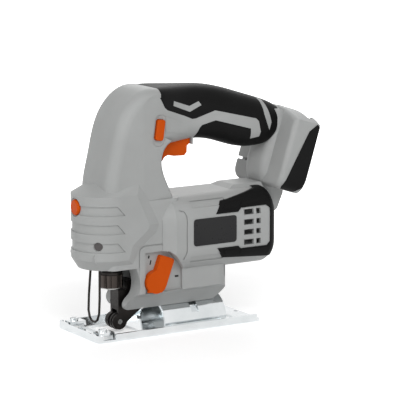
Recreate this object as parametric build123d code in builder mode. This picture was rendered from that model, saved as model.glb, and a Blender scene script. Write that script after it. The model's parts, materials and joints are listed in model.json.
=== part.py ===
from build123d import *

import math
import os

# Cordless jigsaw: clamshell body, scotch-yoke drive, orbital blade guide and tilting sole.

os.makedirs("parts", exist_ok=True)

# ------------------------------------------------------------------ driving dimensions
# Millimetres. +X runs back to the battery end, -X forward to the blade end, +Z up.
# The origin is the centre of the sole's underside.

# clearances
running = 0.3  # between pieces that move past each other
bearing_gap = 0.05  # radial gap of a shaft in its hole

# moulded shell
wall = 2.5
parting = 0.02  # hairline between the two halves of the shell
skin = 1.5  # soft overmould
column_half = 24.0  # half width of the body between head and barrel
column_round = 9.0
head_radius = 26.5  # nose of the head, seen from above
head_center_x = -50.2
head_bottom = 53.5
head_top = 112.0
head_chamfer = 7.5
band_depth = 1.0
band_height = 7.5
band_pitch = 14.4
band_first_z = 68.3
barrel_half = 32.5
barrel_height = 61.5
barrel_middle_z = 76.0
barrel_round = 20.0
barrel_front = -12.0
barrel_rear = 90.0
lower_bottom = 18.4
lower_front = -42.0
lower_rear = 51.5
post_half = 15.0
dock_width = 70.0
dock_height = 66.0
dock_depth = 24.0
dock_corner = 10.0
dock_edge = 4.0
bumper_proud = 0.8
dock_lean = 18.0  # degrees from upright
dock_foot_x = 111.5
dock_foot_z = 99.5
rail_width = 54.0
rail_depth = 8.0
rail_lip = 4.0
screw_radius = 1.75
screw_boss = 4.8
screw_head = 3.2
screw_head_height = 2.4
screw_end = -8.0
pad_proud = 0.4

barrel_tail_round = 8.0
column_seam = -12.0  # where the column's hump gives way to the lofted grip
column_front = [
    (-60.5, 104), (-60.4, 117), (-55.1, 142.5), (-51.0, 160), (-46.3, 172), (-38.5, 183), (-27.5, 191.0),
    (column_seam, 192.4),
]
column_rear = [(2, 149.5), (-4.5, 146), (-8.5, 136.5), (-7.4, 127), (-4.8, 120), (2, 104)]
post_front = [(97, 150), (92.3, 136), (89.4, 129), (87.7, 121), (87.8, 114.2), (89.3, 108), (90.5, 102)]
barrel_shoulder = 8.0
column_floor = 104.0
core_middle = -27.0
core_length = 64.0
head_foot_line = [
    (-120, 0), (-120, 200), (-40, 200), (-31.9, 118), (-28.1, 113.6), (-14.5, 87.4), (-17, 80.9), (-32.2, 68.7),
    (-41, 53), (-41, 0),
]
head_crest_line = [
    (-120, 0), (-120, 200), (-46, 200), (-38.5, 118), (-34.7, 107.9), (-25.2, 87.3), (-26.6, 84), (-39.8, 73.5),
    (-47, 53), (-47, 0),
]
barrel_block_half = 15.0
barrel_block_top = 109.2
groove_depth = 0.8
groove_width = 1.2
lower_taper_z = 32.5
lower_knee_half = 20.2
lower_knee_z = 29.8
lower_floor_half = 12.4

# sole
sole_length = 150.0
sole_width = 66.0
sheet = 2.0
flange_height = 6.0
window_front = -63.0
window_rear = -29.0
window_half = 17.0
fence_x = -64.5
fence_y = 23.0
fence_bar_width = 10.0
strap_width = 9.0
strap_lift = 2.6
cradle_radius = 20.0
cradle_front = -7.0
cradle_rear = 50.0
bevel_limit = 45.0
bevel_screw_x = 22.0
bevel_screw_radius = 3.0

# blade drive
plunger_x = -45.0
plunger_radius = 4.5
stroke = 20.0
clamp_bottom = 36.0
clamp_height = 13.5
clamp_radius = 7.0
collar_radius = 9.5
collar_height = 10.0
motor_axis_z = 78.0
gear_module = 0.8
pinion_teeth = 12
gear_teeth = 46
gear_front = -27.0
gear_width = 7.0
gear_shaft_radius = 4.0
crank_pin_radius = 4.0
frame_plate_front = -15.0
frame_plate = 6.0
bush_radius = 7.5
bush_length = 10.0
motor_front = 4.0
motor_length = 52.0
motor_radius = 22.0
motor_can = 1.5
shaft_radius = 2.5
bearing_radius = 6.5
bearing_width = 5.0
fan_radius = 20.0

# orbital guide
roller_x = -40.6
roller_z = 8.3
roller_radius = 6.8
roller_groove = 4.2
roller_width = 7.0
axle_radius = 2.0
bracket_half = 6.3
pivot_x = -24.0
pivot_z = 21.0
pivot_radius = 2.5
selector_x = -18.5
selector_z = 41.3
selector_shaft_radius = 4.0
selector_hub = 9.2
selector_reach = 21.3
selector_arm = 13.0
selector_thickness = 5.0
selector_seat = 3.0  # how deep the shaft sits in the lever
tail_gap = 0.3  # between the lever's tail and the flank that it passes over
selector_lean = 20.0  # degrees from upright
pocket_depth = 2.5

# nameplate and vents
plate_front = 11.6
plate_rear = 51.3
plate_low = 67.5
plate_high = 89.0
plate_proud = 0.4
plate_depth = 0.8
vent_height = 4.4
vent_rows = (65.9, 74.0, 82.1, 90.2)
vent_columns = ((58.5, 67.8), (70.2, 74.4))

# hand controls
trigger_travel = 7.0
trigger_half = 8.0
lock_travel = 3.0
lock_width = 7.2
lock_height = 16.5
lock_x = -13.4
lock_z = 160.7
light_button_radius = 6.2
light_button_z = 102.4
light_button_travel = 1.5
lens_radius = 3.4
lens_z = 73.2
lens_angle = 49.0  # degrees from straight ahead

# blade guard
guard_wire = 0.95
guard_x = -58.6
guard_half = 7.0

# ------------------------------------------------------------------ places worked out from them
crank_radius = stroke / 2
gear_axis_z = motor_axis_z + gear_module * (pinion_teeth + gear_teeth) / 2
crank_pin_z = gear_axis_z - crank_radius
nose_x = head_center_x - head_radius
bevel_axis_z = sheet
saddle_radius = cradle_radius + running
frame_plate_rear = frame_plate_front + frame_plate
motor_rear = motor_front + motor_length
clamp_top = clamp_bottom + clamp_height
lower_bush_bottom = clamp_top + stroke + 1.0
yoke_half = crank_pin_radius + 3.2  # half height of the yoke
upper_bush_bottom = crank_pin_z + stroke + yoke_half + 2.0
yoke_front = plunger_x + plunger_radius - 0.5
yoke_rear = gear_front - 7.0
cavity_half = bracket_half + 3.2  # clear half width between the cheeks round the guide
barrel_bottom = barrel_middle_z - barrel_height / 2
lean = math.radians(dock_lean)
dock_plane = Plane(
    origin=(dock_foot_x, 0, dock_foot_z),
    x_dir=(0, 1, 0),
    z_dir=(math.cos(lean), 0, -math.sin(lean)),
)
gear_pitch_radius = gear_module * gear_teeth / 2
pinion_pitch_radius = gear_module * pinion_teeth / 2
gear_tip_radius = gear_pitch_radius + 0.8 * gear_module


def export(builder, name):
    """Label a finished part and write its STEP file."""
    builder.part.label = name
    export_step(builder.part, f"parts/{name}.step")


def flank_edges(part):
    """Curved edges of the two flat flanks that look along -Y and +Y."""
    faces = part.faces().filter_by(Axis.Y).sort_by(Axis.Y)
    return [edge for face in (faces[0], faces[-1]) for edge in face.edges().filter_by(GeomType.BSPLINE)]


# ------------------------------------------------------------------ forms of the shell
# Each form takes an inset, so that the same profile makes the outside and the hollow.


def shifted(points, distance):
    """A row of points moved to the right of the way it runs."""
    moved = []
    for index, (x, z) in enumerate(points):
        back_x, back_z = points[max(index - 1, 0)]
        on_x, on_z = points[min(index + 1, len(points) - 1)]
        length = math.hypot(on_x - back_x, on_z - back_z)
        moved.append((x + distance * (on_z - back_z) / length, z - distance * (on_x - back_x) / length))
    return moved


def column_form(inset):
    """Front column and hump: a tapering side profile with rounded flanks."""
    with BuildPart() as form:
        with BuildSketch(Plane.XZ):
            with BuildLine():
                front = Spline(*shifted(column_front, inset))
                rear = Spline(*shifted(column_rear[2:] if inset else column_rear, inset))
                Polyline(front @ 1, (column_seam, 156), rear @ 0)
                Line(rear @ 1, front @ 0)
            make_face()
        extrude(amount=column_half - 2 * inset, both=True)
        if not inset:
            fillet(flank_edges(form.part), column_round)
            with BuildSketch(Plane.XY.offset(column_floor)):
                for side in (-1, 1):
                    Polygon(
                        (-28, side * column_half), (2, side * (column_half - 3.0)), (2, side * 30), (-28, side * 30),
                        align=None,
                    )
            extrude(amount=100, mode=Mode.SUBTRACT)
    return form.part


def core_form(inset):
    """Body behind the head, between the column and the lower housing."""
    low = head_bottom + inset
    high = column_floor + 2.0 - inset
    with BuildPart() as form:
        with BuildSketch(Plane.XY.offset(low)):
            with Locations((core_middle, 0)):
                RectangleRounded(core_length - 2 * inset, 2 * (column_half - inset), 6.0 - inset)
        extrude(amount=high - low)
    return form.part


def nose_profile(radius, center_x):
    """Plan of the head: a half-round nose with straight flanks."""
    with BuildSketch(mode=Mode.PRIVATE) as plan:
        with BuildLine():
            Line((0, -radius), (center_x, -radius))
            ThreePointArc((center_x, -radius), (center_x - radius, 0), (center_x, radius))
            Line((center_x, radius), (0, radius))
            Line((0, radius), (0, -radius))
        make_face()
    return plan.sketch


def head_limits(inset):
    """Where the head stops to the rear: a border on each flank that slopes down to the core."""
    with BuildPart() as limits:
        with BuildSketch(Plane.XZ):
            Polygon(*head_foot_line, align=None)
        extrude(amount=column_half - 0.1 - inset, both=True)
        for side in (-1, 1):
            with BuildSketch(Plane.XZ.offset(side * (column_half - 0.1 - inset))):
                Polygon(*head_foot_line, align=None)
            with BuildSketch(Plane.XZ.offset(side * (head_radius + 0.1 - inset))):
                Polygon(*head_crest_line, align=None)
            loft(ruled=True)
    return limits.part


def head_form(inset):
    """Head over the blade clamp: round nose, chamfered top and raised flanks."""
    radius = head_radius - inset
    crown = head_top + head_chamfer
    levels = (
        (head_bottom + inset, radius - 5.0, head_center_x),
        (head_bottom + 8.0, radius, head_center_x),
        (head_top - inset, radius, head_center_x),
        (crown - inset, column_half - inset, head_center_x + 14.0),
    )
    with BuildPart() as form:
        for (low, low_radius, low_center), (high, high_radius, high_center) in zip(levels, levels[1:]):
            with BuildSketch(Plane.XY.offset(low)):
                add(nose_profile(low_radius, low_center))
            with BuildSketch(Plane.XY.offset(high)):
                add(nose_profile(high_radius, high_center))
            loft()
        add(head_limits(inset), mode=Mode.INTERSECT)
    return form.part


def grip_form(inset):
    """Handle: lofted through rounded sections that follow the hand."""
    sections = (
        (-26, 151.0, 190.8, 47.6, 9.0),
        (-17, 149.8, 192.3, 46.6, 9.4),
        (-10, 148.6, 192.9, 45.0, 10.0),
        (8, 147.6, 192.8, 37.5, 13.0),
        (34, 148.2, 191.6, 34.5, 15.0),
        (60, 141.4, 186.2, 35.0, 15.5),
        (84, 138.0, 178.6, 34.0, 15.0),
        (100, 141.0, 172.6, 30.0, 12.5),
        (110, 150.0, 167.0, 19.0, 8.0),
    )
    with BuildPart() as form:
        for x, low, high, width, corner in sections:
            with BuildSketch(Plane.YZ.offset(x)):
                with Locations((0, (low + high) / 2)):
                    RectangleRounded(width - 2 * inset, high - low - 2 * inset, corner - inset)
        loft()
    return form.part


def barrel_form(inset, front=barrel_front):
    """Motor barrel with a rounded tail."""
    rear = barrel_rear - inset
    with BuildPart() as form:
        with BuildSketch(Plane.YZ.offset(front)):
            with Locations((0, barrel_middle_z)):
                RectangleRounded(
                    2 * (barrel_half - inset), barrel_height - 2 * inset, barrel_round - inset
                )
        extrude(amount=rear - front)
        fillet(form.faces().sort_by(Axis.X)[-1].edges(), barrel_tail_round - inset)
        chamfer(form.faces().sort_by(Axis.X)[0].edges(), barrel_shoulder - inset / 2)
    return form.part


def lower_form():
    """Lower housing over the cradle: bellied front, tapered underside."""
    top = barrel_bottom + 12.0
    with BuildPart() as form:
        with BuildSketch(Plane.XZ):
            with BuildLine():
                front = Spline((-37, top), (-33, 47), (-32, 40), (-34.5, 31), (-40, 25), (-40.5, 21.5), (-37, 18.4))
                rear = Spline((41, 18.4), (47, 25), (50.8, 36), (51.5, 46), (51.5, top))
                Line(front @ 1, rear @ 0)
                Line(rear @ 1, front @ 0)
            make_face()
        extrude(amount=column_half, both=True)
        with BuildSketch(Plane.YZ.offset(-60)):
            Polygon(
                (-column_half, top), (-column_half, lower_taper_z), (-lower_knee_half, lower_knee_z),
                (-lower_floor_half, lower_bottom), (lower_floor_half, lower_bottom), (lower_knee_half, lower_knee_z),
                (column_half, lower_taper_z), (column_half, top), align=None,
            )
        extrude(amount=130, mode=Mode.INTERSECT)
        with BuildSketch(Plane.XY):
            with Locations(((lower_front + lower_rear) / 2, 0)):
                RectangleRounded(lower_rear - lower_front, 2 * column_half, 12.0)
        extrude(amount=100, mode=Mode.INTERSECT)
    return form.part


def post_form(inset):
    """Rear post between the barrel and the end of the handle."""
    with BuildPart() as form:
        with BuildSketch(Plane.XZ):
            with BuildLine():
                front = Spline(*shifted(post_front, -inset))
                Polyline(
                    front @ 1, (92 + inset, 84 + inset), (94 + inset / 2, 82 + inset), (101.5 - inset, 86.5 + inset),
                    (107 - inset, 99 + inset), (107 - inset, 134), (112 - 1.5 * inset, 158),
                    (106 - inset, 167 - inset), (98 + inset, 168 - inset), front @ 0,
                )
            make_face()
        extrude(amount=post_half - inset, both=True)
        if not inset:
            fillet(flank_edges(form.part), post_half / 2)
    return form.part


def dock_form(inset):
    """Leaning battery dock, arched at the top."""
    half = dock_width / 2 - inset
    shoulder = dock_height - 8.0
    with BuildPart() as form:
        with BuildSketch(dock_plane.offset(-inset)) as face:
            with BuildLine():
                Line((-half, inset), (-half, shoulder))
                ThreePointArc((-half, shoulder), (0, dock_height - inset), (half, shoulder))
                Line((half, shoulder), (half, inset))
                Line((half, inset), (-half, inset))
            make_face()
        extrude(amount=-(dock_depth - 2 * inset))
        dock_axis = Axis((0, 0, 0), dock_plane.z_dir)
        fillet(form.edges().filter_by(dock_axis).sort_by(Axis.Z)[:2], dock_corner - inset)
        if inset <= 0:
            fillet(form.faces().sort_by(dock_axis)[0].edges(), dock_edge)
    return form.part


def fuse(*shapes):
    """One solid from overlapping forms."""
    joined = shapes[0]
    for shape in shapes[1:]:
        joined = joined + shape
    return joined


def prism(points, half):
    """A side-view polygon, drawn in X and Z, carried through the width."""
    with BuildPart() as solid:
        with BuildSketch(Plane.XZ):
            Polygon(*points, align=None)
        extrude(amount=half, both=True)
    return solid.part


def block(x_range, y_range, z_range):
    """A box given by its ranges."""
    with BuildPart() as solid:
        with BuildSketch(Plane.XY.offset(z_range[0])):
            with Locations(((x_range[0] + x_range[1]) / 2, (y_range[0] + y_range[1]) / 2)):
                Rectangle(x_range[1] - x_range[0], y_range[1] - y_range[0])
        extrude(amount=z_range[1] - z_range[0])
    return solid.part


def rod(radius, start, end):
    """A round bar between two points."""
    axis = Vector(*end) - Vector(*start)
    with BuildPart() as solid:
        with BuildSketch(Plane(origin=start, z_dir=axis)):
            Circle(radius)
        extrude(amount=axis.length)
    return solid.part


def combine(base, plus=(), minus=()):
    """A part with some solids joined on and others cut away."""
    with BuildPart() as result:
        add(base)
        for tool in plus:
            add(tool)
        for tool in minus:
            add(tool, mode=Mode.SUBTRACT)
    return result


def common(first, second):
    """What two parts share."""
    with BuildPart() as result:
        add(first)
        add(second, mode=Mode.INTERSECT)
    return result.part


def halves(part, name):
    """Part it at the middle plane and write the left and the right piece."""
    for side, width in (("left", (-100, -parting / 2)), ("right", (parting / 2, 100))):
        with BuildPart() as piece:
            add(part)
            add(block((-200, 300), width, (-50, 300)), mode=Mode.INTERSECT)
        export(piece, f"{name}_{side}")


# ------------------------------------------------------------------ soft skins
grip = grip_form(0)
post = post_form(0)
dock = dock_form(0)
lower = lower_form()

# the black field of the grip, less the stripe, the chevron and the slash that stay grey
grip_field = [
    (-16.5, 200), (-15.5, 190), (-12, 184), (-8.3, 177.5), (-5.5, 175.4), (11.5, 169.5), (19.6, 166.2), (25.1, 151),
    (26, 130), (88, 130), (90.5, 138), (95.3, 142.5), (100.8, 150.9), (103.5, 162.8), (107, 170), (109, 200),
]
grip_stripe = [
    (19.6, 166.2), (23.1, 166.3), (40.8, 171.4), (79.6, 162), (82.3, 159.5), (84.2, 150.8), (83.3, 147),
    (75.1, 145.7), (74.6, 154.2), (41.3, 163.5), (28.9, 160.6), (27.1, 158.4), (25.1, 151),
]
grip_chevron = [(0.6, 178.3), (1.1, 182), (16.8, 176.7), (25.6, 179.8), (28.2, 176.5), (17.2, 172)]
grip_slash = [(85.8, 178), (89.9, 175.4), (95, 157.7), (92.8, 151.3), (87.7, 164.5)]
grip_skin = combine(
    common(combine(grip, minus=[grip_form(skin)]).part, prism(grip_field, 40)),
    minus=[prism(grip_stripe, 40), prism(grip_chevron, 40), prism(grip_slash, 40), post, dock],
)

# bumper round the tail, open at the vent panel
bumper_field = [
    (32.5, 91.4), (39.5, 100.5), (60, 103.8), (77, 106.5), (72, 112), (76, 118), (99, 118), (99, 47),
    (88, 51.5), (39.5, 55.5), (33.5, 63.8), (52.9, 63.8), (55.3, 61.5), (80, 61.5), (83, 64.5), (83, 91.8),
    (79.7, 94.4), (56.1, 94.2), (52.8, 91.4),
]
barrel_band = combine(barrel_form(-bumper_proud), minus=[barrel_form(skin)]).part

# screws of the clamshell: X, Z, half length of the boss, and where the head sits
screw_table = (
    (-36.0, 176.0, 19.5, 19.0),
    (58.0, 163.0, 14.0, 12.6),
    (97.0, 122.0, 13.0, 10.0),
    (-66.0, 64.0, 18.5, 17.0),
    (74.0, 57.0, 25.5, 24.0),
    (80.0, 97.0, 23.0, 21.5),
    (40.0, 38.0, 21.8, 18.5),
)
screw_wells = [rod(screw_head + 0.2, (x, seat, z), (x, seat + 30, z)) for x, z, half, seat in screw_table]
bumper = combine(common(barrel_band, prism(bumper_field, 40)), minus=[post, dock, lower] + screw_wells[4:6])

# raised block on the barrel's top, in front of the post
with BuildPart() as barrel_block:
    with BuildSketch(Plane.XZ):
        Polygon((48, 100), (54, 106), (62, barrel_block_top), (88, barrel_block_top), (88, 100), align=None)
    extrude(amount=barrel_block_half, both=True)
    crests = barrel_block.faces().sort_by(Axis.Z)[-1].edges().filter_by(Axis.X)
    chamfer(crests, 3.5)
bumper = combine(bumper.part, minus=[barrel_block.part])

# shallow marks on the flanks: the panel's edge, two long recesses, and a line round the pocket
panel_line = [(-0.1, 96.6), (3.9, 95.3), (5.4, 91.6), (5.4, 63.9), (2.9, 57.7)]
flank_marks = []
for (x1, z1), (x2, z2) in zip(panel_line, panel_line[1:]):
    length = math.hypot(x2 - x1, z2 - z1)
    across = (groove_width * (z2 - z1) / length / 2, -groove_width * (x2 - x1) / length / 2)
    flank_marks.append([
        (x1 - across[0], z1 - across[1]), (x1 + across[0], z1 + across[1]), (x2 + across[0], z2 + across[1]),
        (x2 - across[0], z2 - across[1]),
    ])
flank_marks.append([(12, 97.5), (46, 97.5), (43.5, 102.5), (12, 102.5)])
flank_marks.append([(10, 54.5), (40, 54.5), (43, 59.5), (10, 59.5)])
mark_band = combine(barrel_form(-1), minus=[barrel_form(groove_depth)]).part

# soft pads on the dock's flanks, set along the leaning side faces
pad_field = [
    (15.5, 56), (7.5, 51), (3.5, 44.5), (-15.5, 12.5), (-17.5, 8.5), (-15, 3.5), (-5, 2.0), (1, 5.5), (4.5, 12),
    (17.5, 53.5),
]
pad_points = [(dock_foot_x + x, dock_foot_z + z) for x, z in pad_field]
pad_half = dock_width / 2 - 6.0
dock_pads = combine(
    common(combine(dock_form(-pad_proud), minus=[dock_form(skin)]).part, prism(pad_points, 40)),
    minus=[block((50, 160), (-pad_half, pad_half), (80, 180))],
)

with BuildPart() as nameplate:
    add(block(
        (plate_front, plate_rear), (-barrel_half - plate_proud, -barrel_half + plate_depth), (plate_low, plate_high)
    ))
    fillet(nameplate.edges().filter_by(Axis.Y), 2.5)

# ------------------------------------------------------------------ shell
# bands round the nose
with BuildPart() as bands:
    with BuildSketch(Plane.XY.offset(head_bottom)):
        add(nose_profile(head_radius + 5, head_center_x))
        add(nose_profile(head_radius - band_depth, head_center_x), mode=Mode.SUBTRACT)
    extrude(amount=head_top - head_bottom)
    with BuildSketch(Plane.XZ):
        for step in range(3):
            low = band_first_z + step * band_pitch
            Polygon(
                (nose_x - 10, low), (head_center_x + 3.5, low), (head_center_x - 3, low + band_height),
                (nose_x - 10, low + band_height), align=None,
            )
    extrude(amount=head_radius + 6, both=True, mode=Mode.INTERSECT)

# pocket of the selector lever on the left, and the solid walls kept behind and round it
pocket_outline = [(-27.5, 65), (-7.8, 65), (-3.9, 61.6), (6.1, 49.7), (6.1, 32.6), (-27.5, 32.4)]
pocket_floor = -column_half + pocket_depth
with BuildPart() as pocket:
    with BuildSketch(Plane.XZ.offset(-pocket_floor)):
        Polygon(*pocket_outline, align=None)
        with Locations((selector_x, selector_z)):
            Circle(selector_hub + 0.8)
    extrude(amount=20)
with BuildPart() as pocket_walls:
    with BuildSketch(Plane.XZ.offset(-pocket_floor - wall)):
        Polygon(*pocket_outline, align=None)
        offset(amount=wall)
    extrude(amount=20)

# room inside
lower_room = [(-14, 27), (-19.5, 35.2), (-21.5, 38.5), (-21.5, 52), (21.5, 52), (21.5, 38.5), (19.5, 35.2), (14, 27)]
with BuildPart() as lower_rooms:
    for room_front, room_rear in ((-8.0, 15.0), (29.0, 48.0)):
        with BuildSketch(Plane.YZ.offset(room_front)):
            Polygon(*lower_room, align=None)
        extrude(amount=room_rear - room_front)
with BuildPart() as dock_room:
    with BuildSketch(dock_plane.offset(-rail_depth - wall)):
        with Locations((0, 29)):
            Rectangle(dock_width - 10, 44)
    extrude(amount=-(dock_depth - rail_depth - 2 * wall))
hollow = combine(
    fuse(
        column_form(wall), core_form(wall), head_form(wall), barrel_form(wall, barrel_front + wall), post_form(wall),
        grip_form(skin + wall),
    ),
    plus=[
        block((-56, -6), (-19, 19), (96, 112)),
        rod(gear_tip_radius + 1, (gear_front - 2, 0, gear_axis_z), (gear_front + gear_width + 2.5, 0, gear_axis_z)),
        lower_rooms.part,
        dock_room.part,
    ],
    minus=[pocket_walls.part],
)

with BuildPart() as pocket_line:
    with BuildSketch(Plane.XZ.offset(-pocket_floor + pocket_depth - groove_depth)):
        with BuildSketch(mode=Mode.PRIVATE) as reach:
            Polygon(*pocket_outline, align=None)
        offset(reach.sketch, amount=5.0 + groove_width)
        offset(reach.sketch, amount=5.0, mode=Mode.SUBTRACT)
        with Locations((40, 50)):
            Rectangle(104, 120, mode=Mode.SUBTRACT)
    extrude(amount=20)

# ribs and bosses that hold what sits inside
inner_barrel = barrel_form(wall - 0.5)
rings = [common(inner_barrel, block((x, x + 2.5), (-40, 40), (40, 120))) for x in (10.0, 46.0, 60.0)]
motor_rings = combine(rings[0], plus=rings[1:], minus=[rod(motor_radius, (0, 0, motor_axis_z), (70, 0, motor_axis_z))])
ribs = [motor_rings.part]
for side in (-1, 1):
    rail = sorted((side * 16.5, side * 22.0))
    ribs.append(block((frame_plate_front - 2, frame_plate_rear + 1), rail, (66, 100)))
    finger = sorted((side * 9.0, side * 19.5))
    ribs.append(block((-40, -36), finger, (121.5, 129.5)))
    guard_boss = sorted((side * 4.0, side * 8.6))
    ribs.append(block((guard_x - 3, guard_x + 2), guard_boss, (54, 61)))
grip_room = grip_form(skin + wall - 0.5)
for x in (5.0, 30.0):
    ribs.append(common(grip_room, block((x, x + 3), (-20, 20), (184, 200))))
ribs.append(common(head_form(wall - 0.5), block((-64, -61.5), (-30, 30), (95, 110))))
light_way = Vector(-math.cos(math.radians(lens_angle)), -math.sin(math.radians(lens_angle)), 0)
light_root = Vector(head_center_x, 0, lens_z)
ribs.append(rod(lens_radius + 2, tuple(light_root + light_way * 20), tuple(light_root + light_way * 24.8)))
for x, z, half, seat in screw_table:
    ribs.append(rod(screw_boss, (x, -half, z), (x, half, z)))

# wire of the blade guard: two legs and a bend
guard_half_points = [
    (-guard_half + 0.4, 60), (-guard_half - 1.6, 30), (-guard_half - 1.5, 17.5), (-6.2, 12.2), (-3.2, 10.2), (0, 9.7),
]
guard_halves = guard_half_points + [(-y, z) for y, z in reversed(guard_half_points[:-1])]
guard_points = [(guard_x - 2.3 * (62 - z) / 52.7, y, z) for y, z in guard_halves]

ribs.append(prism([(23.4, 152), (23.4, 144.9), (24.7, 144.6), (25.0, 152)], trigger_half + 2.0))

# holes and windows
guide_room = block((-62, -13.5), (-cavity_half, cavity_half), (10, head_bottom + 0.5))
floor_window = block((plunger_x - 12, plunger_x + 12), (-11, 11), (head_bottom - 2, head_bottom + wall + 6))
saddle = rod(saddle_radius, (cradle_front - 1, 0, bevel_axis_z), (cradle_rear + 6, 0, bevel_axis_z))
frame_slot = block((frame_plate_front, frame_plate_rear), (-18, 18), (64, 121))
trigger_slot = block((-4.2, 23.4), (-trigger_half - running, trigger_half + running), (130, 158))
with BuildPart() as lock_way:
    with BuildSketch(Plane.XZ):
        with Locations(Location((lock_x, lock_z), -8)):
            RectangleRounded(lock_width + 2 * running, lock_height + 2 * running, 2.0 + running)
    extrude(amount=40, both=True)
with BuildPart() as lock_dish:
    for side in (-1, 1):
        with BuildSketch(Plane.XZ.offset(-side * 21.8)):
            with Locations(Location((lock_x, lock_z - 0.5), -8)):
                RectangleRounded(lock_width + 4.5, lock_height + 8.5, 5.0)
        extrude(amount=-side * 10)
cuts = [common(mark_band, prism(mark, 40)) for mark in flank_marks] + [pocket_line.part, lock_dish.part]
cuts += [
    guide_room, floor_window, saddle, frame_slot, trigger_slot, lock_way.part, pocket.part,
    rod(light_button_radius + running, (nose_x - 5, 0, light_button_z), (nose_x + 6.5, 0, light_button_z)),
    rod(light_button_radius + 1.2, (nose_x - 5, 0, light_button_z), (nose_x + 1.2, 0, light_button_z)),
    rod(lens_radius, tuple(light_root + light_way * 15), tuple(light_root + light_way * 25)),
    rod(lens_radius + 0.4, tuple(light_root + light_way * 24.4), tuple(light_root + light_way * 32)),
    rod(selector_shaft_radius + bearing_gap, (selector_x, -30, selector_z), (selector_x, 17.3, selector_z)),
    rod(pivot_radius, (pivot_x, -13, pivot_z), (pivot_x, 13, pivot_z)),
    rod(bevel_screw_radius, (bevel_screw_x, 0, 10), (bevel_screw_x, 0, 32)),
]
for (x, z, half, seat), well in zip(screw_table, screw_wells):
    cuts.append(well)
    cuts.append(rod(screw_radius + bearing_gap, (x, 0, z), (x, seat, z)))
    cuts.append(rod(screw_radius, (x, screw_end, z), (x, 0, z)))
vents = []
for row in vent_rows:
    for vent_front, vent_rear in vent_columns:
        vent_z = (row - vent_height / 2, row + vent_height / 2)
        vents.append(block((vent_front, vent_rear), (-40, -27), vent_z))
        vents.append(block((vent_front, vent_rear), (27, 40), vent_z))
cuts.append(rod(guard_wire, guard_points[0], guard_points[1]))
cuts.append(rod(guard_wire, guard_points[-1], guard_points[-2]))

# battery rails: a channel open at the top with a lip each side
with BuildPart() as rail_way:
    with BuildSketch(dock_plane.offset(1)):
        with Locations((0, 10 + 40)):
            Rectangle(rail_width - 2 * rail_lip, 80)
    extrude(amount=-(rail_depth + 1))
    with BuildSketch(dock_plane.offset(-3)):
        with Locations((0, 10 + 40)):
            Rectangle(rail_width, 80)
    extrude(amount=-(rail_depth - 3))
cuts.append(rail_way.part)

with BuildPart() as shell:
    for form in (
        column_form(0), core_form(0), head_form(0), barrel_form(0), barrel_block.part, lower, post, dock, grip,
    ):
        add(form)
    for tool in (bands.part, grip_skin.part, bumper.part, dock_pads.part, nameplate.part, hollow.part):
        add(tool, mode=Mode.SUBTRACT)
    for rib in ribs:
        add(rib)
    for tool in cuts:
        add(tool, mode=Mode.SUBTRACT)
    add(vents, mode=Mode.SUBTRACT)
halves(shell.part, "housing")
halves(grip_skin.part, "grip_sleeve")
halves(bumper.part, "bumper")
halves(dock_pads.part, "dock_pad")
export(nameplate, "nameplate")

# ------------------------------------------------------------------ hand controls
with BuildPart() as trigger:
    with BuildSketch(Plane.XZ):
        Polygon(
            (-2.3, 141.1), (-1.0, 145.5), (-1.0, 154), (22.8, 154), (22.8, 145.4), (20.6, 143.6), (20.4, 138.4),
            (18, 136.0), (9, 136.3), (3, 137.4), (-0.2, 136.2), (-2.2, 133.1), align=None,
        )
    extrude(amount=trigger_half, both=True)
    flanks = trigger.faces().filter_by(Axis.Y)
    fillet(flanks.edges().filter_by_position(Axis.Z, 130, 147), 0.6)
    add(block((-3.9, 23.1), (-trigger_half, trigger_half), (151.4, 155.8)))
    add(block((-5.0, 24.5), (-trigger_half - 1.3, trigger_half + 1.3), (155.6, 157.4)))
export(trigger, "trigger")

with BuildPart() as lock_button:
    with BuildSketch(Plane.XZ.offset(-23.0)):
        with Locations(Location((lock_x, lock_z), -8)):
            RectangleRounded(lock_width, lock_height, 2.0)
    extrude(amount=47.6)
    fillet(lock_button.faces().sort_by(Axis.Y)[0].edges(), 0.8)
export(lock_button, "lock_button")

button_back = nose_x + 4.3
with BuildPart() as light_button:
    add(rod(light_button_radius, (nose_x - 0.8, 0, light_button_z), (button_back, 0, light_button_z)))
    fillet(light_button.edges().sort_by(Axis.X)[0], 1.4)
    add(rod(light_button_radius + 1.4, (button_back, 0, light_button_z), (button_back + 1.0, 0, light_button_z)))
export(light_button, "light_button")
export(combine(block((nose_x + 7.3, -64), (-6, 6), (97, 108))), "light_switch")
lens_back = tuple(light_root + light_way * 19.5)
lens_face = tuple(light_root + light_way * 24.4)
export(combine(rod(lens_radius, lens_back, lens_face)), "work_light_lens")
switch_low = 165.0
switch_module = combine(
    block((0, 38), (-9, 9), (switch_low, 184)), minus=[block((-1, 2), (-10, 10), (179, 190))]
)
export(switch_module, "switch_module")

# ------------------------------------------------------------------ orbital selector
hub_face = pocket_floor - running
arm_offset = selector_hub - selector_arm / 2
with BuildPart() as selector_lever:
    with BuildSketch(Plane.XZ.offset(-hub_face)):
        Circle(selector_hub)
        with Locations((arm_offset, selector_reach / 2)):
            Rectangle(selector_arm, selector_reach)
        Polygon((8.9, 0), (8.9, -3.3), (6.9, -6.4), (0, 0), align=None)
    extrude(amount=selector_thickness)
    fillet(selector_lever.edges().filter_by(Axis.Y).sort_by(Axis.Z)[-2:], 2.0)
    with BuildSketch(Plane.XZ.offset(column_half + tail_gap)):
        Polygon((8.9, -3.3), (6.9, -6.8), (-4.8, -9.9), (-4.2, -6.9), (-7.5, -4.5), (0, 0), align=None)
    extrude(amount=selector_thickness - hub_face - column_half - tail_gap)
    with BuildSketch(Plane.XZ.offset(-hub_face)):
        Circle(selector_shaft_radius)
    extrude(amount=selector_seat, mode=Mode.SUBTRACT)
lever_place = Location((selector_x, 0, selector_z), (0, selector_lean, 0))
selector_lever.part.locate(lever_place)
export(selector_lever, "selector_lever")

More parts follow.
